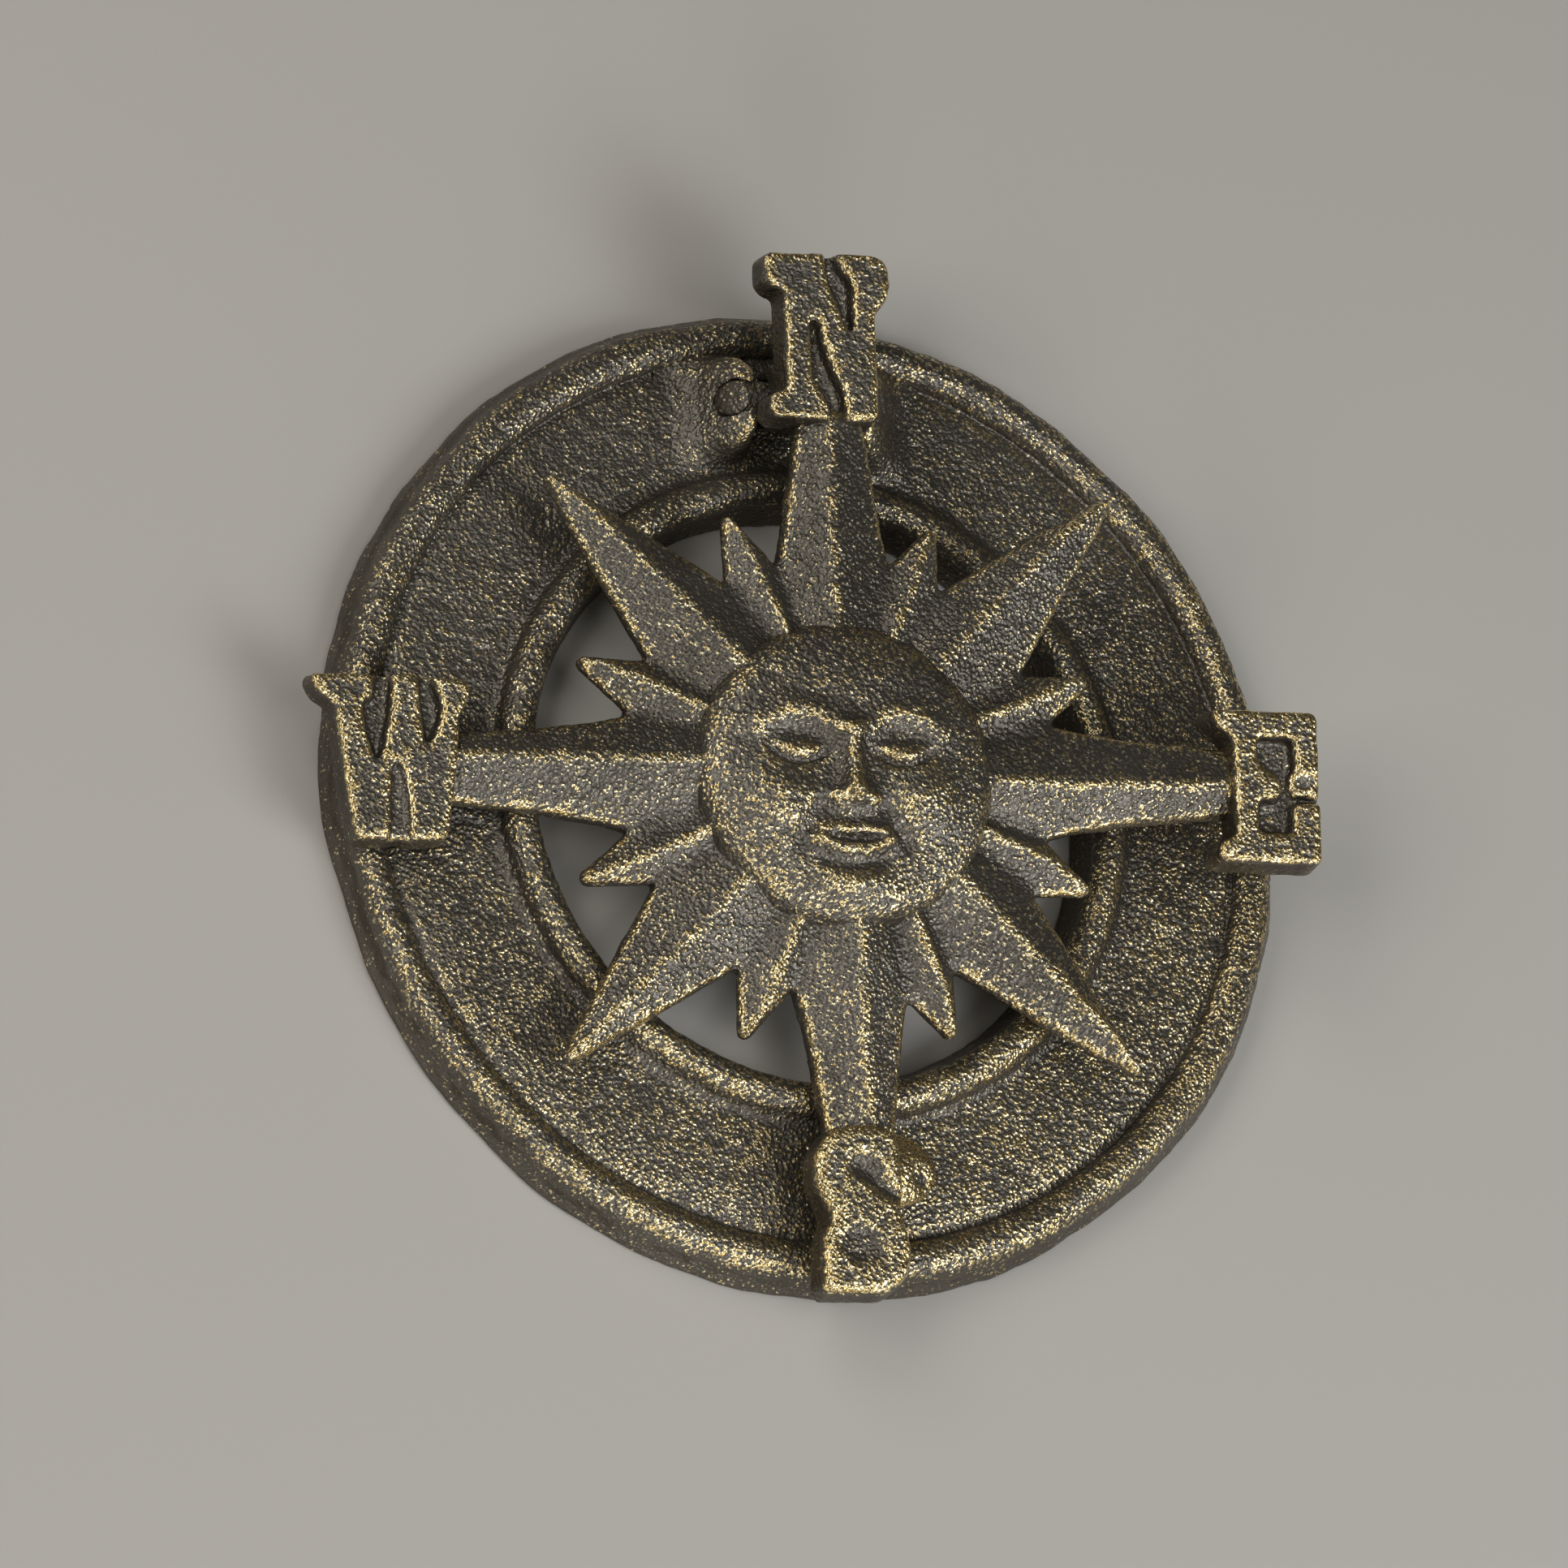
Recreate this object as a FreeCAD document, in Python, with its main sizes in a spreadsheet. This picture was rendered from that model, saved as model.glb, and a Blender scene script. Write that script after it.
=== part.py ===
"""Sun and compass-rose door knocker: a cast-iron ring plate and a sun-shaped knocker on a hinge pin.

The plate lies on its back: the back face is on z = 0, +Z points away from the door and +Y to the N letter.
The origin is the centre of the ring on the back face. All sizes are in millimetres.
"""
import FreeCAD, Part
import math
import os

import Sketcher

PARTS_FOLDER = "parts"

# Driving dimensions: alias, value, meaning
SIZES = [
    ("ring_outer_radius", 82.5, "outer edge of the ring on the door"),
    ("ring_crease_radius", 80.6, "outer wall where the rounded rim starts"),
    ("ring_crease_height", 4.4, "height of that crease"),
    ("rim_inner_radius", 74.0, "inner foot of the raised rim"),
    ("rim_round_radius", 3.45, "radius of the rounded rim crest"),
    ("web_thickness", 5.0, "flat web between the two raised rims"),
    ("bead_outer_radius", 54.0, "outer foot of the inner bead"),
    ("bead_inner_radius", 48.3, "inner side of the bead crest"),
    ("bead_inner_height", 7.2, "height where the hole wall meets the crest"),
    ("bead_round_radius", 3.1, "radius of the bead crest"),
    ("hole_radius", 46.6, "central hole at the back face"),
    ("bolt_offset", 64.0, "tapped fixing holes, north and south of the centre"),
    ("bolt_radius", 2.1, "tapping radius of an M5 fixing thread"),
    ("pin_offset", 64.0, "hinge pin, north of the centre"),
    ("pin_height", 12.0, "hinge pin above the back face"),
    ("pin_radius", 3.0, "hinge pin"),
    ("pin_length", 26.4, "hinge pin, end to end"),
    ("pin_chamfer", 0.5, "broken edge at each end of the pin"),
    ("pin_running_gap", 0.06, "radial clearance of the pin in the knocker's lug"),
    ("ear_inner", 8.3, "inner face of an ear from the middle"),
    ("ear_outer_foot", 17.7, "outer face of an ear at its foot"),
    ("ear_outer_top", 10.4, "outer face of an ear at its top"),
    ("ear_half_length", 8.0, "half length of an ear along the plate"),
    ("ear_shoulder", 9.9, "height where the arch of an ear starts"),
    ("ear_round", 8.2, "radius of the arch"),
    ("ear_top", 16.3, "height at which the outer slope ends"),
    ("lug_half_width", 7.3, "half width of the hinge lug between the ears"),
    ("lug_radius", 5.0, "radius of the hinge lug round the pin"),
    ("lug_top", 20.0, "top of the lug blank, above the back of the N that trims it"),
    ("sun_east", 0.3, "centre of the sun, east of the ring's centre"),
    ("sun_north", -0.45, "centre of the sun, north of the ring's centre"),
    ("sun_height", 18.0, "height of the sun plane at its centre"),
    ("sun_tilt_south", 3.4, "sun plane falls to the south, degrees"),
    ("sun_tilt_west", 4.0, "sun plane falls to the west, degrees"),
    ("face_radius", 25.75, "sun face disc"),
    ("face_rim_level", 2.0, "rim of the face above the sun plane"),
    ("face_dome_level", 5.5, "centre of the domed face"),
    ("casting_back_level", -5.0, "flat back of the sun casting"),
    ("ray_root", 22.0, "where the rays start, inside the face disc"),
    ("ray_root_edge", -1.7, "side edges of a long ray at the face"),
    ("ray_root_ridge", 1.8, "ridge of a long ray at the face"),
    ("cardinal_root_half", 10.2, "half width of a cardinal ray at its root"),
    ("ray_end_north", 59.2, "end of the north ray, just inside the N"),
    ("ray_end_east", 65.5, "end of the east ray, just inside the E"),
    ("ray_end_south", 59.5, "end of the south ray, just inside the S"),
    ("ray_end_west", 66.5, "end of the west ray, just inside the W"),
    ("cardinal_end_half", 5.4, "half width of a cardinal ray at its end"),
    ("cardinal_end_ridge", 0.2, "ridge level there"),
    ("cardinal_end_back", -4.6, "back level there"),
    ("diagonal_root_half", 11.6, "half width of a diagonal ray at its root"),
    ("diagonal_tip", 66.6, "tip of a diagonal ray from the sun's centre"),
    ("diagonal_tip_half", 0.8, "half width at the blunt tip"),
    ("diagonal_tip_ridge", 0.0, "ridge level at the tip"),
    ("diagonal_tip_edge", -0.8, "side edges at the tip"),
    ("diagonal_tip_back", -2.6, "back level at the tip"),
    ("short_root_half", 8.6, "half width of a short ray at its root"),
    ("short_root_ridge", 0.4, "ridge of a short ray at its root"),
    ("short_root_edge", -2.2, "side edges of a short ray at its root"),
    ("short_root_back", -4.5, "back level of a short ray at its root"),
    ("short_tip", 45.8, "tip of a short ray from the sun's centre"),
    ("short_tip_half", 0.8, "half width at the blunt tip"),
    ("short_tip_ridge", -1.0, "ridge level at the tip"),
    ("short_tip_edge", -1.7, "side edges at the tip"),
    ("short_tip_back", -3.4, "back level at the tip"),
    ("letter_level", 2.0, "front of the letters above the sun plane"),
    ("letter_relief", 2.8, "depth of the letters' counters"),
    ("cap_height", 27.0, "height of the letters"),
    ("north_middle", 71.9, "middle of the N above the sun's centre"),
    ("north_width", 20.8, "width of the N over its serifs"),
    ("north_back", -4.4, "back level of the N"),
    ("south_middle", -70.6, "middle of the S below the sun's centre"),
    ("south_width", 15.2, "width of the S"),
    ("south_back", -4.2, "back level of the S"),
    ("west_middle", -74.8, "middle of the W, west of the sun's centre"),
    ("west_width", 26.4, "width of the W over its serifs"),
    ("west_back", -3.3, "back level of the W, which passes close over the rim"),
    ("east_middle", 70.7, "middle of the E, east of the sun's centre"),
    ("east_width", 17.6, "width of the E"),
    ("east_back", -4.8, "back level of the E"),
    ("striker_east", 5.0, "middle of the striker knob"),
    ("striker_north", -62.8, "middle of the striker knob"),
    ("striker_height", 9.05, "middle of the striker knob above the back face"),
    ("striker_half_length", 10.0, "striker knob, half its length"),
    ("striker_half_width", 6.7, "striker knob, half its width"),
    ("striker_half_height", 3.8, "striker knob, half its height"),
]

doc = FreeCAD.newDocument("sun_door_knocker")
sheet = doc.addObject("Spreadsheet::Sheet", "Sizes")
for row, (alias, value, meaning) in enumerate(SIZES, start=1):
    sheet.set(f"A{row}", alias)
    sheet.set(f"B{row}", str(value))
    sheet.set(f"C{row}", meaning)
    sheet.setAlias(f"B{row}", alias)
doc.recompute()


def size(alias):
    """The name of a spreadsheet cell as an expression reads it."""
    return f"Sizes.{alias}"


# ---- sketches and features -------------------------------------------------------------------------


def make_body(label, placement=None):
    """A PartDesign body whose label names its file, placed by an expression."""
    body = doc.addObject("PartDesign::Body", label)
    body.Label = label
    if placement:
        body.setExpression("Placement", placement)
    return body


def make_sketch(body, name, role, offset=None):
    """A sketch on one of the body's own origin planes; offset is an expression along the plane's normal."""
    plane = next(o for o in body.Origin.OriginFeatures if o.Role == role)
    sketch = body.newObject("Sketcher::SketchObject", name)
    sketch.AttachmentSupport = [(plane, "")]
    sketch.MapMode = "FlatFace"
    if offset:
        sketch.setExpression("AttachmentOffset.Base.z", offset)
    return sketch


def read(sketch, expression):
    """The number that an expression gives now."""
    return float(sketch.evalExpression(str(expression)))


def pin_down(sketch, edge, end, name, corner):
    """Binds one end of an edge to its two coordinates."""
    for axis, expression in zip("XY", corner):
        constraint = Sketcher.Constraint("Distance" + axis, edge, end, read(sketch, expression))
        index = sketch.addConstraint(constraint)
        label = f"{name}_{axis.lower()}"
        sketch.renameConstraint(index, label)
        sketch.setExpression(f"Constraints.{label}", str(expression))


def arc_between(start, end, radius):
    """The shorter arc of this radius that bulges to the left of the way from start to end.

    It is drawn anticlockwise, so its own first point is end and its own last point is start.
    """
    chord = end - start
    reach = math.sqrt(max(radius**2 - chord.Length**2 / 4, 0))
    left = FreeCAD.Vector(-chord.y, chord.x, 0).normalize()
    centre = (start + end) / 2 - left * reach
    angles = [math.atan2(p.y - centre.y, p.x - centre.x) for p in (end, start)]
    if angles[1] < angles[0]:
        angles[1] += 2 * math.pi
    return Part.ArcOfCircle(Part.Circle(centre, FreeCAD.Vector(0, 0, 1), radius), *angles)


def draw_outline(sketch, corners):
    """Draws a closed outline.

    A corner is (x, y), or (x, y, radius) where the edge that leaves it is an arc bulging to the left.
    """
    points = [FreeCAD.Vector(read(sketch, c[0]), read(sketch, c[1]), 0) for c in corners]
    for index, corner in enumerate(corners):
        follower = (index + 1) % len(corners)
        if len(corner) == 3:
            arc = arc_between(points[index], points[follower], read(sketch, corner[2]))
            sketch.addGeometry(arc, False)
            first, last = 2, 1
            radius = sketch.addConstraint(Sketcher.Constraint("Radius", index, arc.Radius))
            sketch.renameConstraint(radius, f"radius_{index}")
            sketch.setExpression(f"Constraints.radius_{index}", str(corner[2]))
        else:
            sketch.addGeometry(Part.LineSegment(points[index], points[follower]), False)
            first, last = 1, 2
        pin_down(sketch, index, first, f"corner_{index}", corner[:2])
        pin_down(sketch, index, last, f"end_{index}", corners[follower][:2])


def draw_circle(sketch, index, centre, radius):
    """Draws one circle whose centre and radius are bound to expressions."""
    middle = FreeCAD.Vector(read(sketch, centre[0]), read(sketch, centre[1]), 0)
    up = FreeCAD.Vector(0, 0, 1)
    sketch.addGeometry(Part.Circle(middle, up, read(sketch, radius)), False)
    pin_down(sketch, index, 3, f"centre_{index}", centre)
    constraint = sketch.addConstraint(Sketcher.Constraint("Radius", index, read(sketch, radius)))
    sketch.renameConstraint(constraint, f"circle_{index}")
    sketch.setExpression(f"Constraints.circle_{index}", str(radius))


def revolve(body, sketch):
    """Turns a profile round the sketch's upright axis, which is the body's Z."""
    turned = body.newObject("PartDesign::Revolution", "Turned")
    turned.Profile = sketch
    turned.ReferenceAxis = (sketch, ["V_Axis"])
    turned.Angle = 360
    return turned


def pad(body, sketch, length, midplane=False):
    """Pads a sketch along its normal by the length that an expression gives."""
    block = body.newObject("PartDesign::Pad", "Block")
    block.Profile = sketch
    block.setExpression("Length", length)
    block.Midplane = midplane
    return block


def pocket(body, sketch, length=None):
    """Cuts a sketch out of the body, to a depth or all the way through on both sides."""
    hollow = body.newObject("PartDesign::Pocket", "Hollow")
    hollow.Profile = sketch
    if length:
        hollow.setExpression("Length", length)
    else:
        hollow.Type = "ThroughAll"
        hollow.Midplane = True
    return hollow


def carve(label, base, tools):
    """Cuts each tool out of the base, so that the piece meets them face to face."""
    shape = base
    for number, tool in enumerate(tools, start=1):
        cut = doc.addObject("Part::Cut", f"{label}_carve_{number}")
        cut.Base = shape
        cut.Tool = tool
        shape = cut
    shape.Label = label
    return shape


# ---- the ring plate --------------------------------------------------------------------------------

outer_rim = make_body("outer_rim")
rim_profile = make_sketch(outer_rim, "RimProfile", "XZ_Plane")
draw_outline(
    rim_profile,
    [
        (size("rim_inner_radius"), 0),
        (size("rim_inner_radius"), size("web_thickness"), size("rim_round_radius")),
        (size("ring_crease_radius"), size("ring_crease_height")),
        (size("ring_outer_radius"), 0),
    ],
)
revolve(outer_rim, rim_profile)

inner_rim = make_body("inner_rim")
bead_profile = make_sketch(inner_rim, "BeadProfile", "XZ_Plane")
draw_outline(
    bead_profile,
    [
        (size("hole_radius"), 0),
        (size("bead_inner_radius"), size("bead_inner_height"), size("bead_round_radius")),
        (size("bead_outer_radius"), size("web_thickness")),
        (size("bead_outer_radius"), 0),
    ],
)
revolve(inner_rim, bead_profile)

ring_web = make_body("ring_web")
web_outline = make_sketch(ring_web, "WebOutline", "XY_Plane")
draw_circle(web_outline, 0, (0, 0), size("rim_inner_radius"))
draw_circle(web_outline, 1, (0, 0), size("bead_outer_radius"))
pad(ring_web, web_outline, size("web_thickness"))
bolt_holes = make_sketch(ring_web, "BoltHoles", "XY_Plane")
draw_circle(bolt_holes, 0, (0, size("bolt_offset")), size("bolt_radius"))
draw_circle(bolt_holes, 1, (0, f"-{size('bolt_offset')}"), size("bolt_radius"))
pocket(ring_web, bolt_holes)


def make_ear(label, side):
    """An arched hinge ear on the web; side is -1 for the west ear and 1 for the east ear."""
    body = make_body(label)
    near = f"{size('pin_offset')} - {size('ear_half_length')}"
    far = f"{size('pin_offset')} + {size('ear_half_length')}"
    arch = make_sketch(body, "Arch", "YZ_Plane", f"{side} * {size('ear_inner')}")
    draw_outline(
        arch,
        [
            (near, size("web_thickness")),
            (near, size("ear_shoulder"), size("ear_round")),
            (far, size("ear_shoulder")),
            (far, size("web_thickness")),
        ],
    )
    block = pad(body, arch, f"{size('ear_outer_foot')} - {size('ear_inner')}")
    block.Reversed = side < 0
    slope = make_sketch(body, "OuterSlope", "XZ_Plane")
    draw_outline(
        slope,
        [
            (f"{side} * {size('ear_outer_foot')}", size("web_thickness")),
            (f"{side} * {size('ear_outer_top')}", size("ear_top")),
            (f"{side} * {size('ear_outer_foot')}", size("ear_top")),
        ],
    )
    pocket(body, slope)
    bore = make_sketch(body, "PinBore", "YZ_Plane")
    draw_circle(bore, 0, (size("pin_offset"), size("pin_height")), size("pin_radius"))
    pocket(body, bore)
    return body


west_ear = make_ear("hinge_ear_west", -1)
east_ear = make_ear("hinge_ear_east", 1)

hinge_pin = make_body("hinge_pin")
pin_section = make_sketch(hinge_pin, "PinSection", "YZ_Plane")
draw_circle(pin_section, 0, (size("pin_offset"), size("pin_height")), size("pin_radius"))
pin_block = pad(hinge_pin, pin_section, size("pin_length"), midplane=True)
doc.recompute()
broken_edges = hinge_pin.newObject("PartDesign::Chamfer", "BrokenEdges")
end_edges = [f"Edge{n}" for n, e in enumerate(pin_block.Shape.Edges, 1) if len(e.Vertexes) == 1]
broken_edges.Base = (pin_block, end_edges)
broken_edges.setExpression("Size", size("pin_chamfer"))

# ---- the sun casting -------------------------------------------------------------------------------

SUN_ORIGIN = f"create(<<vector>>; {size('sun_east')}; {size('sun_north')}; {size('sun_height')})"
TILT_SOUTH = f"create(<<rotation>>; create(<<vector>>; 1; 0; 0); {size('sun_tilt_south')})"
TILT_WEST = f"create(<<rotation>>; create(<<vector>>; 0; 1; 0); -{size('sun_tilt_west')})"


def on_sun(turn=0):
    """The placement of a piece on the leaning sun plane, turned about the sun's own axis."""
    spin = f"create(<<rotation>>; create(<<vector>>; 0; 0; 1); {turn})"
    return f"create(<<placement>>; {SUN_ORIGIN}; {TILT_SOUTH} * {TILT_WEST} * {spin})"


sun_face = make_body("sun_face", on_sun())
face_profile = make_sketch(sun_face, "FaceProfile", "XZ_Plane")
face_rise = f"({size('face_dome_level')} - {size('face_rim_level')})"
dome_radius = f"(({size('face_radius')})^2 + {face_rise}^2) / (2 * {face_rise})"
draw_outline(
    face_profile,
    [
        (0, size("casting_back_level")),
        (0, size("face_dome_level"), dome_radius),
        (size("face_radius"), size("face_rim_level")),
        (size("face_radius"), size("casting_back_level")),
    ],
)
revolve(sun_face, face_profile)


def gable(sketch, half_width, edge, ridge, back):
    """A house-shaped section: flat back, upright sides and two facets that meet in a ridge."""
    corners = [
        (f"-{half_width}", back),
        (half_width, back),
        (half_width, edge),
        (0, ridge),
        (f"-{half_width}", edge),
    ]
    draw_outline(sketch, corners)


def make_ray(label, turn, root, tip):
    """A tapering gabled ray along the turned X axis; root and tip are (distance, gable sizes)."""
    body = make_body(label, on_sun(turn))
    sections = []
    for name, (distance, *gable_sizes) in (("RootSection", root), ("TipSection", tip)):
        section = make_sketch(body, name, "YZ_Plane", size(distance))
        gable(section, *(size(alias) for alias in gable_sizes))
        sections.append(section)
    loft = body.newObject("PartDesign::AdditiveLoft", "Taper")
    loft.Profile = sections[0]
    loft.Sections = sections[1:]
    loft.Ruled = True
    return body


def make_letter(label, middle, width, back, outline, counters, upright):
    """A letter block whose counters are sunk into its front.

    Outline and counters are in shares of half the width and half the cap height, from the middle.
    upright is True where middle runs along Y, for the N and the S.
    """
    body = make_body(label, on_sun())
    half_width = f"{size(width)} / 2"
    half_height = f"{size('cap_height')} / 2"
    shift = ("0", size(middle)) if upright else (size(middle), "0")

    def place(corner):
        across, along, *radius = corner
        x = f"{shift[0]} + ({across}) * {half_width}"
        y = f"{shift[1]} + ({along}) * {half_height}"
        return (x, y, *radius)

    block = make_sketch(body, "Outline", "XY_Plane", size(back))
    draw_outline(block, [place(corner) for corner in outline])
    pad(body, block, f"{size('letter_level')} - {size(back)}")
    for number, counter in enumerate(counters):
        hollow = make_sketch(body, f"Counter{number}", "XY_Plane", size("letter_level"))
        draw_outline(hollow, [place(corner) for corner in counter])
        pocket(body, hollow, size("letter_relief"))
    return body


N_OUTLINE = [
    (-1, 1), (1, 1), (1, 0.7), (0.7, 0.6), (0.7, -1),
    (-1, -1), (-1, -0.76), (-0.72, -0.68), (-0.72, 0.6), (-1, 0.68),
]
N_COUNTERS = [
    [(0.06, 0.9), (0.18, 0.9), (0.4, 0.6), (0.42, 0.26), (0.25, 0.1), (0.06, 0.55)],
    [(-0.3, 0.14), (-0.16, 0.14), (0.2, -0.9), (-0.06, -0.9), (-0.34, -0.55)],
]
E_OUTLINE = [
    (-1, 0.92), (-0.72, 0.66), (-0.72, -0.66), (-1, -0.78), (-1, -1), (1, -1), (1, 1), (-1, 1),
]
E_COUNTERS = [
    [
        (-0.12, 0.66), (-0.12, 0.26), (0.3, 0.14), (0.3, -0.06), (-0.12, -0.1), (-0.12, -0.54),
        (0.54, -0.54), (0.54, -0.14), (0.9, -0.1), (0.9, 0.14), (0.54, 0.2), (0.54, 0.66),
    ],
]
W_OUTLINE = [
    (-1, 1), (1, 1), (0.88, 0.6), (0.62, -1), (-0.45, -1), (-0.7, 0.6), (-0.92, 0.68),
]
W_COUNTERS = [
    [(-0.24, 0.88), (0, 0.88), (-0.08, 0.4), (-0.2, -0.04), (-0.32, -0.04), (-0.36, 0.42)],
    [(0.32, 0.88), (0.52, 0.88), (0.56, 0.5), (0.42, 0.04), (0.34, 0.04), (0.38, 0.45)],
    [(0, 0.02), (0.08, 0.02), (0.2, -0.9), (-0.14, -0.9)],
]
S_OUTLINE = [
    (-0.95, -1), (0.55, -1), (1, -0.75), (1, -0.1), (0.75, 0.1), (0.95, 0.3), (0.95, 0.9), (0.5, 1),
    (-0.6, 1), (-1, 0.7), (-1, 0.2), (-0.7, -0.1), (-0.95, -0.3),
]
S_COUNTERS = [
    [(-0.4, 0.62), (0.3, 0.62), (0.86, 0.3), (0.86, 0.1), (-0.35, 0.3)],
    [(-0.6, -0.4), (0.4, -0.38), (0.45, -0.7), (-0.1, -0.84), (-0.55, -0.6)],
]

letters = {
    "n": make_letter("letter_n", "north_middle", "north_width", "north_back", N_OUTLINE, N_COUNTERS, True),
    "e": make_letter("letter_e", "east_middle", "east_width", "east_back", E_OUTLINE, E_COUNTERS, False),
    "s": make_letter("letter_s", "south_middle", "south_width", "south_back", S_OUTLINE, S_COUNTERS, True),
    "w": make_letter("letter_w", "west_middle", "west_width", "west_back", W_OUTLINE, W_COUNTERS, False),
}

CARDINAL_ROOT = ("ray_root", "cardinal_root_half", "ray_root_edge", "ray_root_ridge", "casting_back_level")
CARDINAL_END = ("cardinal_end_half", "ray_root_edge", "cardinal_end_ridge", "cardinal_end_back")
DIAGONAL_ROOT = ("ray_root", "diagonal_root_half", "ray_root_edge", "ray_root_ridge", "casting_back_level")
DIAGONAL_TIP = (
    "diagonal_tip", "diagonal_tip_half", "diagonal_tip_edge", "diagonal_tip_ridge", "diagonal_tip_back",
)
SHORT_ROOT = ("ray_root", "short_root_half", "short_root_edge", "short_root_ridge", "short_root_back")
SHORT_TIP = ("short_tip", "short_tip_half", "short_tip_edge", "short_tip_ridge", "short_tip_back")

CARDINAL_TURNS = {"e": 0, "n": 90, "w": 180, "s": 270}
CARDINAL_ENDS = {"e": "ray_end_east", "n": "ray_end_north", "w": "ray_end_west", "s": "ray_end_south"}
DIAGONAL_TURNS = {"ne": 45, "nw": 135, "sw": 225, "se": 315}
SHORT_NAMES = ("ene", "nne", "nnw", "wnw", "wsw", "ssw", "sse", "ese")
LONG_STEP = 360 / (len(CARDINAL_TURNS) + len(DIAGONAL_TURNS))

long_rays = {}
pieces = [outer_rim, inner_rim, ring_web, west_ear, east_ear, hinge_pin, sun_face, *letters.values()]
for name, turn in CARDINAL_TURNS.items():
    tip = (CARDINAL_ENDS[name], *CARDINAL_END)
    ray = make_ray(f"cardinal_ray_{name}_blank", turn, CARDINAL_ROOT, tip)
    long_rays[turn] = carve(f"cardinal_ray_{name}", ray, [sun_face, letters[name]])
    pieces.append(long_rays[turn])
for name, turn in DIAGONAL_TURNS.items():
    ray = make_ray(f"diagonal_ray_{name}_blank", turn, DIAGONAL_ROOT, DIAGONAL_TIP)
    beside = [long_rays[(turn + side) % 360] for side in (-LONG_STEP, LONG_STEP)]
    long_rays[turn] = carve(f"diagonal_ray_{name}", ray, [sun_face, *beside])
    pieces.append(long_rays[turn])
for number, name in enumerate(SHORT_NAMES):
    turn = (number + 0.5) * LONG_STEP
    ray = make_ray(f"short_ray_{name}_blank", turn, SHORT_ROOT, SHORT_TIP)
    neighbours = [long_rays[(number + side) * LONG_STEP % 360] for side in (0, 1)]
    pieces.append(carve(f"short_ray_{name}", ray, [sun_face, *neighbours]))

# ---- the knocker's lug and striker knob ------------------------------------------------------------

lug_blank = make_body("hinge_lug_blank")
lug_section = make_sketch(lug_blank, "LugSection", "YZ_Plane")
lug_south = f"{size('pin_offset')} - {size('lug_radius')}"
lug_north = f"{size('pin_offset')} + {size('lug_radius')}"
draw_outline(
    lug_section,
    [
        (lug_north, size("pin_height"), size("lug_radius")),
        (size("pin_offset"), f"{size('pin_height')} - {size('lug_radius')}", size("lug_radius")),
        (lug_south, size("pin_height")),
        (lug_south, size("lug_top")),
        (lug_north, size("lug_top")),
    ],
)
pad(lug_blank, lug_section, f"2 * {size('lug_half_width')}", midplane=True)
lug_bore = make_sketch(lug_blank, "LugBore", "YZ_Plane")
bore_radius = f"{size('pin_radius')} + {size('pin_running_gap')}"
draw_circle(lug_bore, 0, (size("pin_offset"), size("pin_height")), bore_radius)
pocket(lug_blank, lug_bore)
pieces.append(carve("hinge_lug", lug_blank, [letters["n"], long_rays[90]]))

knob = doc.addObject("Part::Ellipsoid", "striker_blank")
knob.setExpression("Radius1", size("striker_half_height"))
knob.setExpression("Radius2", size("striker_half_length"))
knob.setExpression("Radius3", size("striker_half_width"))
for axis, alias in zip("xyz", ("striker_east", "striker_north", "striker_height")):
    knob.setExpression(f"Placement.Base.{axis}", size(alias))
pieces.append(carve("striker_knob", knob, [letters["s"], long_rays[270]]))

# ---- check and write -------------------------------------------------------------------------------

doc.recompute()
for item in doc.Objects:
    if "Invalid" in item.State or "Error" in item.State:
        raise RuntimeError(f"{item.Label}: {item.State}")

os.makedirs(PARTS_FOLDER, exist_ok=True)
for piece in pieces:
    shape = piece.Shape
    if shape.isNull() or not shape.isValid() or len(shape.Solids) != 1:
        raise RuntimeError(f"{piece.Label}: {len(shape.Solids)} solids, valid {shape.isValid()}")
    shape.exportStep(os.path.join(PARTS_FOLDER, f"{piece.Label}.step"))
    print(f"{piece.Label:18} {shape.Volume:10.1f} mm3")
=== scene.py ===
"""Sun and compass-rose door knocker: cast skins, worn iron, studio light and camera.

The skins are solid shapes given as distance fields in millimetres. They are turned into meshes, roughened
like sand-cast iron, and stand for the plain CAD nodes. A finished mesh is in metres, in the CAD part's frame.
"""
import math

import bpy
import numpy as np
from mathutils import Matrix, Vector


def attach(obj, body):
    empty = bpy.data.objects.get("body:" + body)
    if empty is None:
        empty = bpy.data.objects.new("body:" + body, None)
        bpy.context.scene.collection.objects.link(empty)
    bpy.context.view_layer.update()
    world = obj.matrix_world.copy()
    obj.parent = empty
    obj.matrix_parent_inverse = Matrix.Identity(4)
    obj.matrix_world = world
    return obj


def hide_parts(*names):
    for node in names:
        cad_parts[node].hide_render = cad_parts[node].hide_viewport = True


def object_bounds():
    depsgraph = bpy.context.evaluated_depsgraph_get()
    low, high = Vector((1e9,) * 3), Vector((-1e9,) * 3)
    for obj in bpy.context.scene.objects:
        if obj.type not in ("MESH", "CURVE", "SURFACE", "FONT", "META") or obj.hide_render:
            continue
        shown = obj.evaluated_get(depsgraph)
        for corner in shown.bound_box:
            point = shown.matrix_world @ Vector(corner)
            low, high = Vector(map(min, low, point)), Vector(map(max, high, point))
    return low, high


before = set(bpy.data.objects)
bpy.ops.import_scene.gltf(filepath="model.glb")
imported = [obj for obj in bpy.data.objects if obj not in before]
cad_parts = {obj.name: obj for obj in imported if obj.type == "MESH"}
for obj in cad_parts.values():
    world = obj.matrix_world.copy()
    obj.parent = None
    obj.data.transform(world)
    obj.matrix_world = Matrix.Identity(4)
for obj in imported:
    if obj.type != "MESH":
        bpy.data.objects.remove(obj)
cad_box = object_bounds()

MM = 0.001
MM_PER_METRE = 1000

# ---- sizes that follow the CAD part, in millimetres -------------------------------------------------

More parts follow.
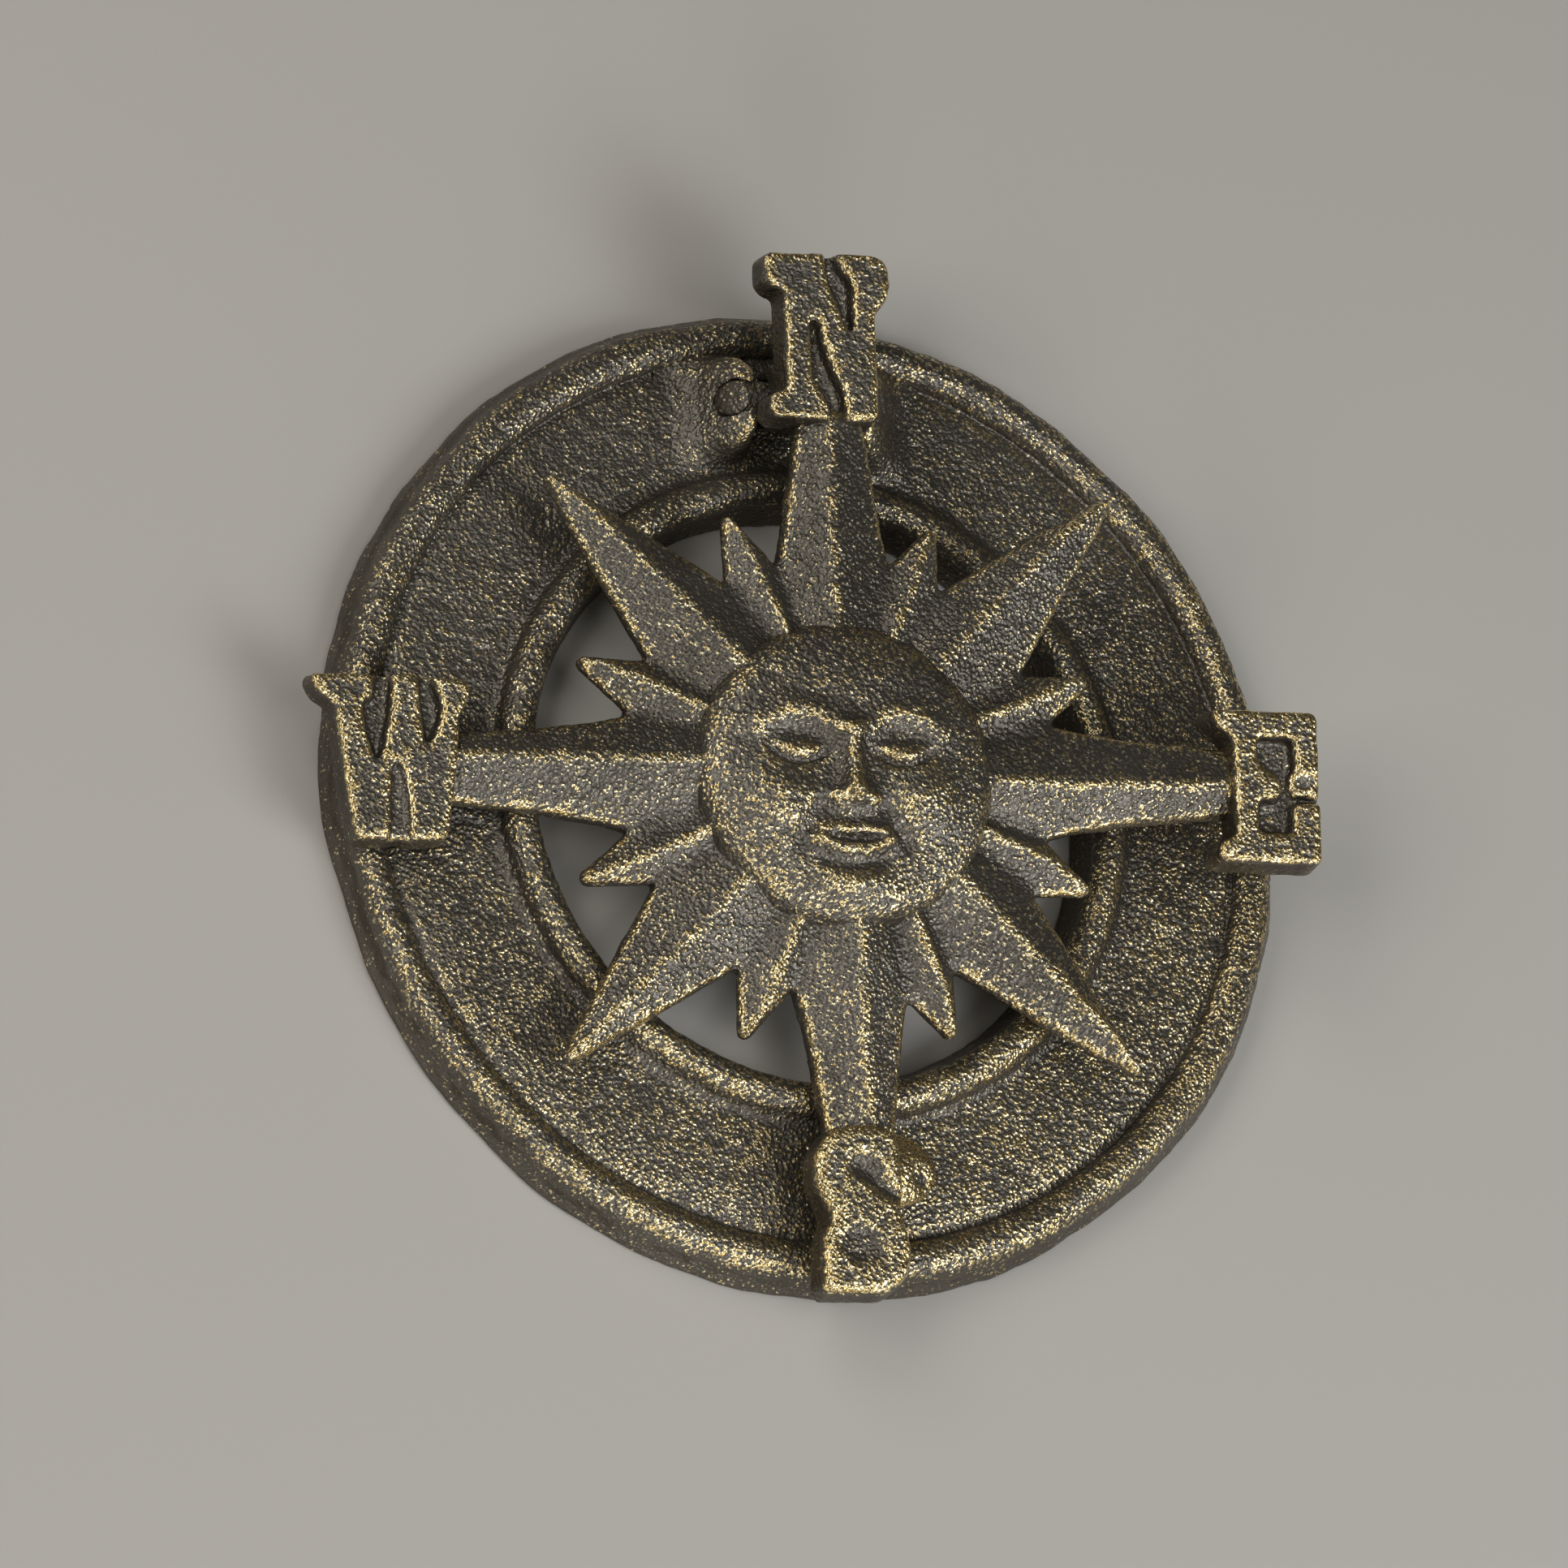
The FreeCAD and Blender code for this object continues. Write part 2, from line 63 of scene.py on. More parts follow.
HOLE_RADIUS = 46.6
BEAD_CENTRE = (50.96, 5.61)
BEAD_RADIUS = 3.1
WEB_TOP = 5.0
RIM_CENTRE = (77.2, 3.74)
RIM_RADIUS = 3.45
OUTER_RADIUS = 82.4
HOLE_BACK = HOLE_RADIUS + 0.4
EDGE_BACK = OUTER_RADIUS - 0.5

PIN_Y = 64.0
PIN_Z = 12.0
PIN_RADIUS = 2.97
PIN_HALF_LENGTH = 13.2
PIN_GAP_IN_EAR = 0.04
PIN_GAP_IN_LUG = 0.28
EAR_INNER = 8.3
EAR_FOOT = 17.7
EAR_TOP_HALF = 10.4
EAR_TOP = 16.3
EAR_HALF_LENGTH = 8.3
EAR_ARCH_START = 7.6
LUG_HALF = 7.3
LUG_RADIUS = 5.0
LUG_TOP = 19.0

SUN_ORIGIN = np.array((0.3, -0.45, 18.0))
SUN_TILT_SOUTH = math.radians(3.4)
SUN_TILT_WEST = math.radians(-4.0)
FACE_RADIUS = 25.75
CASTING_BACK = -5.0
LETTER_FRONT = 2.0

# ---- noise ------------------------------------------------------------------------------------------


def lattice(i, j, k, seed):
    """A repeatable number from -1 to 1 for each whole-number point."""
    n = (i * 73856093) ^ (j * 19349663) ^ (k * 83492791) ^ (seed * 2654435)
    n = (n ^ (n >> 13)) * 1274126177
    n = (n ^ (n >> 16)) & 0xFFFF
    return n.astype(np.float32) / 32767.5 - 1.0


def lumps(points, cell, seed):
    """Smooth noise from -1 to 1 over points in millimetres, with lumps about one cell across."""
    scaled = points / cell
    base = np.floor(scaled).astype(np.int64)
    part = (scaled - base).astype(np.float32)
    ease = part * part * part * (part * (part * 6 - 15) + 10)
    total = np.zeros(len(points), np.float32)
    for corner in range(8):
        dx, dy, dz = corner & 1, corner >> 1 & 1, corner >> 2 & 1
        weight = (ease[:, 0] if dx else 1 - ease[:, 0]) * (ease[:, 1] if dy else 1 - ease[:, 1])
        weight = weight * (ease[:, 2] if dz else 1 - ease[:, 2])
        total += weight * lattice(base[:, 0] + dx, base[:, 1] + dy, base[:, 2] + dz, seed)
    return total


# ---- distance fields --------------------------------------------------------------------------------


def smooth_min(a, b, blend):
    """The union of two fields with a fillet about as wide as blend."""
    share = np.maximum(blend - np.abs(a - b), 0) / blend
    return np.minimum(a, b) - share * share * blend / 4


def smooth_max(a, b, blend):
    """The overlap of two fields with a rounded edge about as wide as blend."""
    return -smooth_min(-a, -b, blend)


def rounded(points, cut=0.8):
    """A closed outline with its corners cut off, first by one length and then by a shorter one."""
    outline = np.asarray(points, float)
    most = 0.33
    for reach in (cut, cut * 0.3):
        along = np.roll(outline, -1, axis=0) - outline
        share = np.minimum(reach / np.linalg.norm(along, axis=1), most)[:, None]
        ends = (outline + along * share, outline + along * (1 - share))
        outline = np.stack(ends, axis=1).reshape(-1, 2)
    return outline


def segment_distance(x, y, start, end):
    """The distance from every point to one straight stretch."""
    along = np.subtract(end, start)
    share = ((x - start[0]) * along[0] + (y - start[1]) * along[1]) / max(along @ along, 1e-9)
    share = np.clip(share, 0, 1)
    return np.hypot(x - start[0] - share * along[0], y - start[1] - share * along[1])


def outline_distance(x, y, outline):
    """The signed distance to a closed outline, negative inside."""
    nearest = np.full(np.broadcast(x, y).shape, 1e3)
    inside = np.zeros(nearest.shape, bool)
    for start, end in zip(outline, np.roll(outline, -1, axis=0)):
        nearest = np.minimum(nearest, segment_distance(x, y, start, end))
        if start[1] != end[1]:
            crossing = start[0] + (y - start[1]) * (end[0] - start[0]) / (end[1] - start[1])
            inside ^= ((start[1] > y) != (end[1] > y)) & (x < crossing)
    return np.where(inside, -nearest, nearest).astype(np.float32)


class Block:
    """A box of space sampled on a grid, holding the distance to a shape that grows piece by piece.

    Until a piece comes near, the distance is EMPTY, which is outside every shape.
    """

    EMPTY = 9.0

    def __init__(self, low, high, step):
        self.step = step
        self.low = np.asarray(low, float)
        counts = np.ceil((np.asarray(high, float) - self.low) / step).astype(int) + 1
        self.axes = [self.low[a] + step * np.arange(counts[a]) for a in range(3)]
        self.value = np.full(counts, self.EMPTY, np.float32)

    def window(self, low, high):
        """The grid slices and the coordinates of a smaller box."""
        spans = []
        for axis, first, last in zip(self.axes, low, high):
            start = int(np.searchsorted(axis, first))
            spans.append(slice(start, max(int(np.searchsorted(axis, last)), start + 1)))
        x, y, z = (axis[span].astype(np.float32) for axis, span in zip(self.axes, spans))
        return tuple(spans), x[:, None, None], y[None, :, None], z[None, None, :]

    def join(self, low, high, field, blend=0.6):
        """Adds a shape that lies inside the smaller box."""
        spans, x, y, z = self.window(low, high)
        self.value[spans] = smooth_min(self.value[spans], field(x, y, z), blend)


def skin(block):
    """The surface of a block's shape as points and four-sided faces.

    There is one point in each grid cell that the surface crosses, at the mean of its crossings with the
    cell's edges, and one face round each grid edge that it crosses.
    """
    value = block.value
    inside = value < 0
    cells = tuple(n - 1 for n in value.shape)

    def corner(array, shift):
        return array[tuple(slice(s, s + n) for s, n in zip(shift, cells))]

    count = np.zeros(cells, np.int8)
    shifts = [(i, j, k) for i in (0, 1) for j in (0, 1) for k in (0, 1)]
    for shift in shifts:
        count += corner(inside, shift)
    crossed = np.argwhere((count > 0) & (count < 8))
    numbers = np.full(cells, -1, np.int64)
    numbers[tuple(crossed.T)] = np.arange(len(crossed))
    total = np.zeros((len(crossed), 3))
    hits = np.zeros(len(crossed))
    for shift in shifts:
        for axis in range(3):
            if shift[axis]:
                continue
            other = list(shift)
            other[axis] = 1
            first = value[tuple((crossed + shift).T)]
            second = value[tuple((crossed + other).T)]
            cut = (first < 0) != (second < 0)
            share = np.where(cut, first / np.where(cut, first - second, 1), 0)
            place = np.broadcast_to(np.asarray(shift, float), total.shape).copy()
            place[:, axis] += share
            total += place * cut[:, None]
            hits += cut
    points = block.low + (crossed + total / hits[:, None]) * block.step
    faces = []
    for axis in range(3):
        u, v = (axis + 1) % 3, (axis + 2) % 3
        trim = [slice(1, -1)] * 3
        trim[axis] = slice(0, -1)
        ahead = list(trim)
        ahead[axis] = slice(1, None)
        here = inside[tuple(trim)]
        change = np.argwhere(here != inside[tuple(ahead)])
        leaving = here[tuple(change.T)]
        edge = change + np.array([0 if a == axis else 1 for a in range(3)])
        ring = []
        for du, dv in ((1, 1), (0, 1), (0, 0), (1, 0)):
            cell = edge.copy()
            cell[:, u] -= du
            cell[:, v] -= dv
            ring.append(numbers[tuple(cell.T)])
        quad = np.stack(ring, axis=1)
        faces.append(np.where(leaving[:, None], quad, quad[:, ::-1]))
    return points, np.concatenate(faces)


# ---- mesh finishing ---------------------------------------------------------------------------------

# The cast surface's lumps, each (height, cell, seed).
CAST_LUMPS = ((0.10, 5.5, 11), (0.085, 2.3, 12), (0.075, 1.25, 13))
# A point is proud where it stands out from the mean of the surface this far round it.
PROUD_REACH = 0.9
PROUD_GAIN = 3.3
# The low end takes rubbing out of creases and hollows, which then get less bronze and the darker iron: partly
# real wear and partly painted shade.
PROUD_RANGE = (-0.5, 0.6)
# A surface begins to look up at this upward part of its normal, and does so fully this much further on.
UP_START = 0.25
UP_REACH = 0.5
# How fast a proud edge's rub comes in as it turns upwards, and how much it has on an upright wall.
TURN_GAIN = 1.6
TURN_LEAST = 0.1
# Rub gained per millimetre towards the east and south, and the most that this may add or take.
RUB_GAIN_EAST = 0.0006
RUB_GAIN_SOUTH = 0.0014
RUB_GAIN_MOST = 0.1
# Edges this near to the hinge pin are sheltered.
BORE_MARGIN = 1.2
LEAST_RUB = 0.1
# The CAD model's box in millimetres, and how far inside it every skin stays.
BOX_LOW, BOX_HIGH = (np.array(corner) / MM for corner in cad_box)
BOX_MARGIN = 0.01


def corner_normals(points, faces):
    """Unit normals at the points of a four-sided mesh."""
    first = points[faces[:, 2]] - points[faces[:, 0]]
    second = points[faces[:, 3]] - points[faces[:, 1]]
    across = np.cross(first, second)
    normals = np.zeros_like(points)
    for column in range(4):
        for axis in range(3):
            normals[:, axis] += np.bincount(faces[:, column], across[:, axis], len(points))
    return normals / np.maximum(np.linalg.norm(normals, axis=1), 1e-9)[:, None]


def softened(points, faces, rounds):
    """The points after each has moved to the middle of its neighbours, over and over."""
    start = faces.ravel()
    end = np.roll(faces, -1, axis=1).ravel()
    degree = np.bincount(start, minlength=len(points)) + np.bincount(end, minlength=len(points))
    moved = points.copy()
    for _ in range(rounds):
        fresh = np.zeros_like(moved)
        for axis in range(3):
            fresh[:, axis] = np.bincount(start, moved[end, axis], len(points))
            fresh[:, axis] += np.bincount(end, moved[start, axis], len(points))
        moved = fresh / degree[:, None]
    return moved


def roughen(points, faces, grain=1.0):
    """Pushes a clean skin in and out like sand-cast iron."""
    height = sum(size * lumps(points, cell, seed) for size, cell, seed in CAST_LUMPS)
    return points + corner_normals(points, faces) * (height * grain)[:, None]


def off_sun_plane(points):
    """Takes points on the leaning sun plane to the part's frame."""
    turn = Matrix.Rotation(SUN_TILT_SOUTH, 3, "X") @ Matrix.Rotation(SUN_TILT_WEST, 3, "Y")
    return points @ np.array(turn).T + SUN_ORIGIN


def rub_at(points, normals, bulge, rub_and_shade, flat_rub):
    """How much bronze is rubbed on, from 0 to 1: some where the surface looks up, more where it stands proud.

    There is a little more in the south and east, and no extra on the edges round the hinge pin. There is less
    in creases and hollows, where a low value also darkens the iron: partly real wear and partly painted
    shade.
    """
    up = normals[:, 2]
    looks_up = np.clip((up - UP_START) / UP_REACH, 0, 1)
    # Below zero, in creases and hollows, this takes rubbing away and darkens them: partly real wear and
    # partly painted shade.
    proud = np.clip(bulge * PROUD_GAIN, *PROUD_RANGE) * np.clip(up * TURN_GAIN + TURN_LEAST, 0, 1)
    off_pin = np.hypot(points[:, 1] - PIN_Y, points[:, 2] - PIN_Z) - PIN_RADIUS
    proud = np.where(proud > 0, proud * np.clip(off_pin / BORE_MARGIN, 0, 1), proud)
    gain_by_place = RUB_GAIN_EAST * points[:, 0] - RUB_GAIN_SOUTH * points[:, 1]
    gain_by_place = np.clip(gain_by_place, -RUB_GAIN_MOST, RUB_GAIN_MOST)
    share = np.maximum(rub_and_shade * ((flat_rub + gain_by_place) * looks_up + proud), LEAST_RUB * looks_up)
    return np.clip(share, 0, 1)


def make_piece(
    name, points, faces, material, body, nodes, rub_and_shade=1.0, flat_rub=0.34, on_sun=False, grain=1.0
):
    """A rough cast piece in the part's frame that rides on a body and stands for CAD nodes."""
    spacing = np.linalg.norm(points[faces[:, 0]] - points[faces[:, 1]], axis=1).mean()
    # The reach of a blur grows with the square root of its rounds.
    rounds = int(round((PROUD_REACH / spacing) ** 2 * 2))
    blurred = softened(points, faces, rounds)
    bulge = ((points - blurred) * corner_normals(points, faces)).sum(axis=1)
    points = roughen(points, faces, grain)
    if on_sun:
        points = off_sun_plane(points)
    points = np.clip(points, BOX_LOW + BOX_MARGIN, BOX_HIGH - BOX_MARGIN)
    share = rub_at(points, corner_normals(points, faces), bulge, rub_and_shade, flat_rub)
    mesh = bpy.data.meshes.new(name)
    mesh.from_pydata((points * MM).tolist(), [], faces.tolist())
    layer = mesh.attributes.new("rub_and_shade", "FLOAT", "POINT")
    layer.data.foreach_set("value", share.astype(np.float32))
    mesh.materials.append(material)
    mesh.shade_smooth()
    piece = bpy.data.objects.new(name, mesh)
    bpy.context.scene.collection.objects.link(piece)
    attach(piece, body)
    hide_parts(*nodes)


# ---- materials --------------------------------------------------------------------------------------


class Nodes:
    """A material's node tree, with short ways to add and link nodes."""

    def __init__(self, name):
        self.material = bpy.data.materials.new(name)
        self.material.use_nodes = True
        self.tree = self.material.node_tree
        self.tree.nodes.clear()

    def add(self, kind, settings=None, **inputs):
        """Adds a node. Inputs are numbers, colours or other nodes' sockets, by socket name."""
        node = self.tree.nodes.new(kind)
        for key, value in (settings or {}).items():
            setattr(node, key, value)
        for key, value in inputs.items():
            self.feed(node.inputs[key.replace("_", " ")], value)
        return node

    def feed(self, socket, value):
        """Links a socket to another node's socket, or sets it to a number or colour."""
        if isinstance(value, bpy.types.NodeSocket):
            self.tree.links.new(value, socket)
        else:
            socket.default_value = value

    def surface(self, shader):
        """Makes a shader the material's surface."""
        output = self.add("ShaderNodeOutputMaterial")
        self.tree.links.new(shader.outputs[0], output.inputs[0])

    def math(self, operation, first, second):
        """The result of one sum on sockets or numbers."""
        node = self.add("ShaderNodeMath", {"operation": operation})
        for socket, value in zip(node.inputs, (first, second)):
            self.feed(socket, value)
        return node.outputs[0]

    def mix(self, share, first, second):
        """A blend of two colours. The Mix node's colour sockets are inputs 6 and 7 and output 2."""
        node = self.add("ShaderNodeMix", {"data_type": "RGBA"})
        for index, value in ((0, share), (6, first), (7, second)):
            self.feed(node.inputs[index], value)
        return node.outputs[2]

    def spread(self, value, low, high):
        """The share of the way from low to high, eased at both ends."""
        node = self.add("ShaderNodeMapRange", {"interpolation_type": "SMOOTHSTEP"})
        self.tree.links.new(value, node.inputs["Value"])
        node.inputs["From Min"].default_value = low
        node.inputs["From Max"].default_value = high
        return node.outputs[0]

    def speckle(self, place, size, detail, seed):
        """Noise from about 0.2 to 0.8 with lumps of one size, in millimetres."""
        shift = self.add("ShaderNodeVectorMath", {"operation": "ADD"})
        self.tree.links.new(place, shift.inputs[0])
        shift.inputs[1].default_value = (seed, seed * 0.7, seed * 0.3)
        place = shift.outputs[0]
        node = self.add("ShaderNodeTexNoise", Vector=place, Scale=MM_PER_METRE / size, Detail=detail)
        return node.outputs[0]

    def pebbles(self, place, size):
        """The distance to the middle of the nearest pebble, from 0 to about 1 pebble."""
        node = self.add("ShaderNodeTexVoronoi", Vector=place, Scale=MM_PER_METRE / size)
        return node.outputs["Distance"]


# Colours of the iron where it is handled, of the darker iron on walls and in creases (partly painted shade),
# and of the rubbed bronze.
BARE_DARK = (0.145, 0.127, 0.100, 1)
BARE_PALE = (0.195, 0.174, 0.142, 1)
# The darker iron is partly unrubbed iron and partly painted shade, on walls and in creases.
UNRUBBED_AND_SHADED_IRON = (0.100, 0.083, 0.062, 1)
# The bronze's two tones are painted shade and painted highlight, scattered in fine flecks.
BRONZE_PAINTED_SHADE = (0.64, 0.44, 0.16, 1)
BRONZE_PAINTED_HIGHLIGHT = (1.0, 0.87, 0.54, 1)
# How deep the bumps are, in metres.
GRAIN_DEPTH = 0.00055


def worn_iron(name):
    """Dark sand-cast iron with bronze rubbed on what stands proud.

    The bronze shows where the grain's height, a patchy noise and the piece's own rubbing add up to enough.
    Low rubbing, on walls and in creases, gives darker iron that is partly unrubbed iron and partly painted
    shade.
    """
    nodes = Nodes(name)
    place = nodes.add("ShaderNodeTexCoord").outputs["Object"]
    rub_and_shade = nodes.add("ShaderNodeAttribute", {"attribute_name": "rub_and_shade"}).outputs["Fac"]
    grain = nodes.speckle(place, 0.85, 1.0, 0.11)
    fine = nodes.speckle(place, 0.4, 0.5, 0.23)
    patch = nodes.speckle(place, 4.5, 2.0, 0.37)
    broad = nodes.speckle(place, 24.0, 2.0, 0.51)
    pebble = nodes.math("SUBTRACT", 0.95, nodes.pebbles(place, 0.72))

    height = nodes.math("MULTIPLY", grain, 0.4)
    height = nodes.math("ADD", height, nodes.math("MULTIPLY", pebble, 0.4))
    height = nodes.math("ADD", height, nodes.math("MULTIPLY", fine, 0.2))
    reach = nodes.math("ADD", height, nodes.math("MULTIPLY", patch, 0.26))
    reach = nodes.math("ADD", reach, nodes.math("MULTIPLY", rub_and_shade, 0.37))
    gold = nodes.spread(reach, 0.755, 0.85)

    bare = nodes.mix(nodes.spread(broad, 0.3, 0.7), BARE_DARK, BARE_PALE)
    # Painted shade: where the rubbing is low, on walls and in creases, the iron goes to the darker colour.
    dark = nodes.mix(nodes.spread(rub_and_shade, 0.0, 0.12), UNRUBBED_AND_SHADED_IRON, bare)
    # Painted light: the bronze flecks are mixed from a painted shade tone and a painted highlight tone.
    bronze = nodes.mix(nodes.spread(fine, 0.35, 0.7), BRONZE_PAINTED_SHADE, BRONZE_PAINTED_HIGHLIGHT)
    normal = nodes.add("ShaderNodeBump", Strength=1.0, Distance=GRAIN_DEPTH, Height=height)
    shader = nodes.add(
        "ShaderNodeBsdfPrincipled",
        Base_Color=nodes.mix(gold, dark, bronze),
        Metallic=nodes.math("ADD", 0.8, nodes.math("MULTIPLY", gold, 0.17)),
        Roughness=nodes.math("SUBTRACT", 0.38, nodes.math("MULTIPLY", gold, 0.11)),
        Normal=normal.outputs[0],
    )
    nodes.surface(shader)
    return nodes.material


IRON = worn_iron("worn_iron")

# ---- the ring plate ---------------------------------------------------------------------------------


def arc(centre, radius, first, last, count):
    """Points on an arc, by angles in degrees."""
    return [
        (centre[0] + radius * math.cos(math.radians(a)), centre[1] + radius * math.sin(math.radians(a)))
        for a in np.linspace(first, last, count)
    ]


def ring_profile(step):
    """The plate's section from the back of the hole, over both rims and round to the back of the edge."""
    corners = [(HOLE_BACK, 0.0), (HOLE_RADIUS + 0.1, 0.5)]
    corners += arc(BEAD_CENTRE, BEAD_RADIUS, 149, 4, 16)
    corners += [(55.3, WEB_TOP - 0.1), (60.0, WEB_TOP), (68.0, WEB_TOP)]
    corners += [(72.0, WEB_TOP - 0.3), (73.9, WEB_TOP - 1.0)]
    corners += arc(RIM_CENTRE, RIM_RADIUS, 166, 16, 20)
    corners += [(81.3, 2.6), (OUTER_RADIUS - 0.1, 0.7), (EDGE_BACK, 0.0)]
    corners = np.array(corners)
    stretches = np.linalg.norm(np.diff(corners, axis=0), axis=1)
    lengths = np.concatenate(([0], np.cumsum(stretches)))
    at = np.linspace(0, lengths[-1], int(lengths[-1] / step))
    front = np.stack([np.interp(at, lengths, corners[:, axis]) for axis in (0, 1)], axis=1)
    for _ in range(2):
        front[1:-1] = (front[:-2] + front[1:-1] * 2 + front[2:]) / 4
    back = [(radius, 0.0) for radius in np.linspace(EDGE_BACK, HOLE_BACK, 6)[1:-1]]
    return np.concatenate((front, back))


def make_plate():
    """The ring plate as one turned skin, out of true like a sand casting.

    The outer edge wanders in and out, more and more from the start of the rim, and the front rises and falls.
    """
    profile = ring_profile(0.5)
    turns = 900
    rim_start, rim_reach, inset = 72, 10, 0.35
    angle = np.linspace(0, 2 * math.pi, turns, endpoint=False)
    radius, height = profile[:, 0][None, :], profile[:, 1][None, :]
    sway = np.stack([np.cos(angle), np.sin(angle), np.zeros(turns)], axis=1)
    wobble = 0.55 * lumps(sway * 82, 23, 31) + 0.3 * lumps(sway * 82, 9, 32)
    edge = np.clip((radius - rim_start) / rim_reach, 0, 1)
    reach = radius + edge * (wobble[:, None] - inset)
    rise = 0.35 * lumps(sway * 80, 30, 33)[:, None] * np.clip(height / 8, 0, 1)
    x = reach * np.cos(angle)[:, None]
    y = reach * np.sin(angle)[:, None]
    z = np.broadcast_to(height + rise, reach.shape)
    points = np.stack((x, y, z), axis=2).reshape(-1, 3)
    around = np.arange(turns)[:, None] * len(profile)
    following = np.roll(around, -1, axis=0)
    here = np.arange(len(profile))[None, :]
    ahead = np.roll(here, -1, axis=1)
    corners = (around + here, around + ahead, following + ahead, following + here)
    faces = np.stack(corners, axis=2).reshape(-1, 4)
    nodes = ("outer_rim", "inner_rim", "ring_web")
    make_piece("ring_plate", points, faces, IRON, "plate", nodes)


def make_ear(name, node, side):
    """One arched ear, with a sloping outer face and a foot that runs out into the web."""
    inner, outer, length = side * 4.5, side * 23, 14
    low = (min(inner, outer), PIN_Y - length, 2.5)
    high = (max(inner, outer), PIN_Y + length, 18)
    block = Block(low, high, 0.42)
    foot_reach, foot_fall, fillet, buried = 4.5, 0.16, 4.0, 3.4
    slope = (EAR_FOOT - EAR_TOP_HALF) / (EAR_TOP - WEB_TOP)

    def ear(x, y, z):
        out = x * side
        reach = np.hypot(y - PIN_Y, np.maximum(z - EAR_ARCH_START, 0)) - EAR_HALF_LENGTH
        face = (out - EAR_FOOT + slope * (z - WEB_TOP)) / math.hypot(1, slope)
        wall = smooth_max(EAR_INNER - out, face, 1.4)
        body = smooth_max(wall, reach, fillet)
        foot = z - (WEB_TOP + 0.25 - foot_fall * np.maximum(body, 0))
        near = np.maximum(body - foot_reach, EAR_INNER - 0.2 - out)
        solid = np.maximum(smooth_min(body, np.maximum(foot, near), fillet), buried - z)
        return np.maximum(solid, PIN_RADIUS + PIN_GAP_IN_EAR - np.hypot(y - PIN_Y, z - PIN_Z))

    block.join(low, high, ear)
    points, faces = skin(block)
    make_piece(name, points, faces, IRON, "plate", (node,), rub_and_shade=0.75)


def make_pin():
    """The hinge pin: a rod with hammered ends that stand just out of the ears' slopes."""
    turns = 64
    shear_start, shear = 10.5, 0.024
    hammered = [(0.05, 0.0), (1.3, 0.0), (2.3, 0.1), (2.75, 0.35), (PIN_RADIUS, 0.8)]
    west = [(r, -PIN_HALF_LENGTH + inset) for r, inset in hammered]
    east = [(r, -x) for r, x in reversed(west)]
    middle = [(PIN_RADIUS, x) for x in np.linspace(-12.2, 12.2, 50)]
    rings = west + middle + east
    angle = np.linspace(0, 2 * math.pi, turns, endpoint=False)
    points = np.array(
        [(x, PIN_Y + r * math.cos(a), PIN_Z + r * math.sin(a)) for r, x in rings for a in angle]
    )
    leaning = np.clip(np.abs(points[:, 0]) - shear_start, 0, 2) * (points[:, 2] - PIN_Z)
    points[:, 0] *= 1 - leaning * shear
    start = np.arange(len(rings) - 1)[:, None] * turns
    here = start + np.arange(turns)[None, :]
    beside = start + np.roll(np.arange(turns), -1)[None, :]
    faces = np.stack((here, beside, beside + turns, here + turns), axis=2).reshape(-1, 4)
    nodes = ("hinge_pin",)
    make_piece("pin_rod", points, faces, IRON, "plate", nodes, rub_and_shade=0.8, grain=0.25)


# ---- the sun ----------------------------------------------------------------------------------------


def bump(x, y, centre, reach, height):
    """A soft mound."""
    return height * np.exp(-(((x - centre[0]) / reach[0]) ** 2) - ((y - centre[1]) / reach[1]) ** 2)


def stroke(x, y, path, width, height):
    """A soft ridge or, with a negative height, a groove along a path."""
    nearest = np.full(np.broadcast(x, y).shape, np.inf)
    for start, end in zip(path, path[1:]):
        nearest = np.minimum(nearest, segment_distance(x, y, start, end))
    return height * np.exp(-((nearest / width) ** 2))


def curve(points, count=14):
    """Points along the smooth curve through three control points."""
    a, b, c = (np.asarray(p, float) for p in points)
    return [(1 - t) ** 2 * a + 2 * t * (1 - t) * b + t * t * c for t in np.linspace(0, 1, count)]


